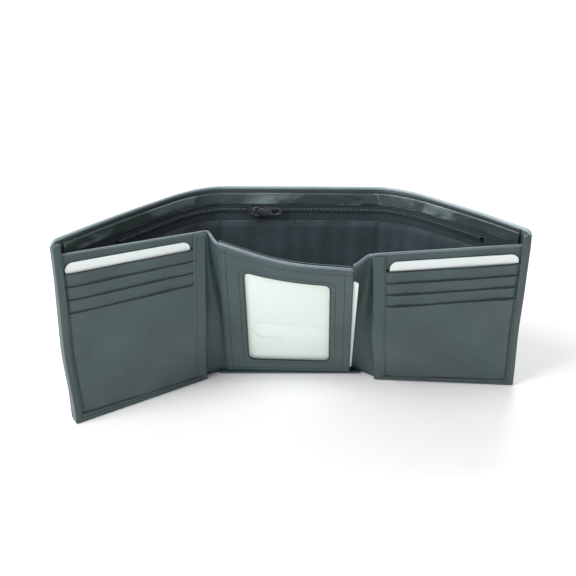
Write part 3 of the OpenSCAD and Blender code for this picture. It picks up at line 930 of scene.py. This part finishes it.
def build_window():
    win = rounded_loop(-23.5, 25.5, 14, 92, 4.0, 20, 8)
    outer = rounded_loop(-HALF_ID, HALF_ID, 3.2, 106.6, 0.8, 20, 8)
    o = sheet("window_back", id_face, np.linspace(-HALF_ID, HALF_ID, 30), np.linspace(3.2, 106.5, 34),
              -2.1, -1.5, PANEL, 0.2)
    settle(o, "centre", "window_backing", "window_pocket_seams")
    o = sheet("window_rear_lining", id_face, np.linspace(-HALF_ID, HALF_ID, 40), np.linspace(3, 105, 30),
              -2.6, -2.12, LINING, 0.0)
    settle(o, "centre", "centre_lining")
    o = ring("window_frame", id_face, outer, win, 1.7, 2.75, PANEL, 0.4, rows=8)
    settle(o, "centre", "window_leather")
    o = edge_on("window_shadow_line", id_face, np.vstack([win, win[:1]]), 2.35, 0.55, SHADE, steps=2)
    settle(o, "centre")
    slot = rounded_loop(-19.5, 21.5, 35.5, 47.5, 5.9, 20, 8)
    o = ring("window_film", id_face, rounded_loop(-25, 27, 12.5, 93.5, 4, 20, 8), slot, 1.95,
             lambda u, w: 2.12 + 0 * u, VINYL, 0.0, rows=10)
    settle(o, "centre", "clear_window")
    o = edge_on("window_slot_rim", id_face, np.vstack([slot, slot[:1]]), 2.05, 0.3, VINYL, steps=2)
    settle(o, "centre")
    loop = rounded_loop(-34.2, 39.5, 5, 96, 2.0, 20, 8)
    loop[:, 0] += 0.9 * (loop[:, 1] - 50) / 46 * (loop[:, 0] > 0)
    o = plate("display_insert", insert_face, loop, 0.1, 0.7, INSERT, 0.15)
    settle(o, "window_insert", "window_insert")
    seam = rounded_loop(-26.2, 28.2, 11.3, 94.7, 6, 20, 8)
    rows = {"a": [(-36.3, 105), (-36.3, 4)], "b": [(-33.4, 105), (-33.4, 4)], "c": [(33.2, 104), (33.2, 4)],
            "d": [(-33, 6.0), (35, 6.0)], "e": [(-37, 103.0), (37, 103.0)]}
    sewn("window_seam", id_face, np.vstack([seam, seam[:1]]), 2.75, "centre", ("window_stitching",), 2.4)
    for k, path in rows.items():
        sewn("window_stitch_" + k, id_face, path, 2.75, "centre")
    # top edge bead in the pale edge material: painted highlight along the rounded top
    o = edge_on("window_top_edge", id_face, [(-HALF_ID, 106.8), (HALF_ID, 106.8)], 1.0, 1.1, EDGE_HIGHLIGHT)
    settle(o, "centre", "window_top_binding")
    # dark bead along the panel's right edge, in the darker seam hide
    o = edge_on("window_side_edge", id_face, [(37.3, 105), (37.3, 2.6)], 2.2, 0.5, SEAM_SHADE)
    settle(o, "centre")


def strip_surface(panel, sign):
    """The soft strip from the wing's fold edge to the window panel's edge, leaving each along its own plane."""
    reach = 9.0

    def curve(x, w):
        a = panel.at(sign * 0.8 + 0 * x, -1.0 + 0 * x, w)
        b = id_face(sign * 37.2 + 0 * x, w)[0] - IDP.y * (1.2 if sign < 0 else -2.3)
        x = x[..., None]
        swing = (x * (1 - x) ** 2 * panel.x - x * x * (1 - x) * IDP.x) * -sign * reach
        p = a + (b - a) * x * x * (3 - 2 * x) + swing
        halfway = np.sin(math.pi * np.clip(w / PANEL_H, 0, 1))[..., None] ** 0.8
        dish = (4.5 if sign < 0 else 7.0) * np.sin(math.pi * x ** 0.7) * (0.2 + 0.8 * halfway)
        return p + np.array([0, 1, 0]) * dish

    def f(x, w):
        x, w = np.broadcast_arrays(np.asarray(x, float), np.asarray(w, float))
        d = 0.01
        along = curve(np.minimum(x + d, 1), w) - curve(np.maximum(x - d, 0), w)
        n = np.cross(UP, unit(along)) * (1 if sign > 0 else -1)
        return curve(x, w), unit(n * np.array([1, 1, 0]))

    return f


def build_strips():
    for name, panel, sign in (("left", LEFT, -1), ("right", RIGHT, 1)):
        f = strip_surface(panel, sign)
        o = sheet(f"{name}_fold_strip", f, np.linspace(0, 1, 25), np.linspace(0.4, 106.6, 40),
                  -0.5, 0.5, PANEL, 0.0, lambda x, w: (x * 14, w))
        settle(o, name + "_strip", name + "_gusset")
        # top edge bead in the pale edge material: painted highlight along the rounded top
        o = edge_on(f"{name}_strip_edge", f, [(0, 106.9), (1, 106.8)], 0.0, 1.0, EDGE_HIGHLIGHT)
        settle(o, name + "_strip")


def build_floor_seam():
    low, high = (np.array(c) * 1000 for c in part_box("bottom_seam"))

    def f(u, w):
        u, w = np.broadcast_arrays(np.asarray(u, float), np.asarray(w, float))
        return np.stack([u, w, 0 * u + low[2]], -1), np.broadcast_to(UP, u.shape + (3,))

    across, deep = np.linspace(low[0] + 4, high[0] - 4, 30), np.linspace(low[1], high[1] - 2, 6)
    o = sheet("floor_seam", f, across, deep, 0.02, 1.4, HIDE, 0.4)
    settle(o, "centre", "bottom_seam")


# ---------- stage, light and camera ----------
def build_stage():
    m = material("paper", (0.9, 0.9, 0.9), 0.7, Specular_IOR_Level=0.2)[0]
    pts = [(-6000, -4000), (6000, -4000), (6000, 6000), (-6000, 6000)]
    floor = make("floor", np.array([(x, y, -0.1) for x, y in pts]), [(0, 1, 2, 3)], m, smooth=False)
    world = bpy.data.worlds.new("studio")
    bpy.context.scene.world = world
    world.use_nodes = True
    bg = world.node_tree.nodes["Background"]
    bg.inputs["Color"].default_value = (1, 1, 1, 1)
    bg.inputs["Strength"].default_value = 0.51
    bpy.context.scene.view_settings.view_transform = "Standard"
    area_light("key", (-0.8, -0.45, 1.0), 17, 0.8)
    area_light("fill", (0.9, -0.6, 0.8), 0.3, 0.9)
    area_light("rim", (0.1, 0.8, 0.8), 8, 0.7)
    area_light("low", (-1.2, -1.0, 0.3), 2.4, 0.3)


def area_light(name, place, power, size):
    data = bpy.data.lights.new(name, "AREA")
    data.energy = power
    data.size = size
    o = bpy.data.objects.new(name, data)
    bpy.context.collection.objects.link(o)
    o.location = place
    o.rotation_euler = (Vector((0, 0, 0.05)) - Vector(place)).to_track_quat("-Z", "Y").to_euler()


def build_camera():
    data = bpy.data.cameras.new("camera")
    data.lens, data.sensor_width = 75.0, 36.0
    data.clip_start, data.clip_end = 0.01, 50
    o = bpy.data.objects.new("camera", data)
    bpy.context.collection.objects.link(o)
    o.location = (-0.006, -0.6388, 0.4047)
    o.rotation_euler = (math.radians(90 - 27.9), 0, 0)
    bpy.context.scene.camera = o


def lean_of(panel):
    return math.acos(min(1, panel.z[2]))


build_camera()
build_stage()
build_shell()
build_facing()
build_coil()
build_slider()
build_stops()
build_wing("left", LEFT, -1, lean_of(LEFT))
build_wing("right", RIGHT, 1, lean_of(RIGHT))
build_window()
build_strips()
build_floor_seam()
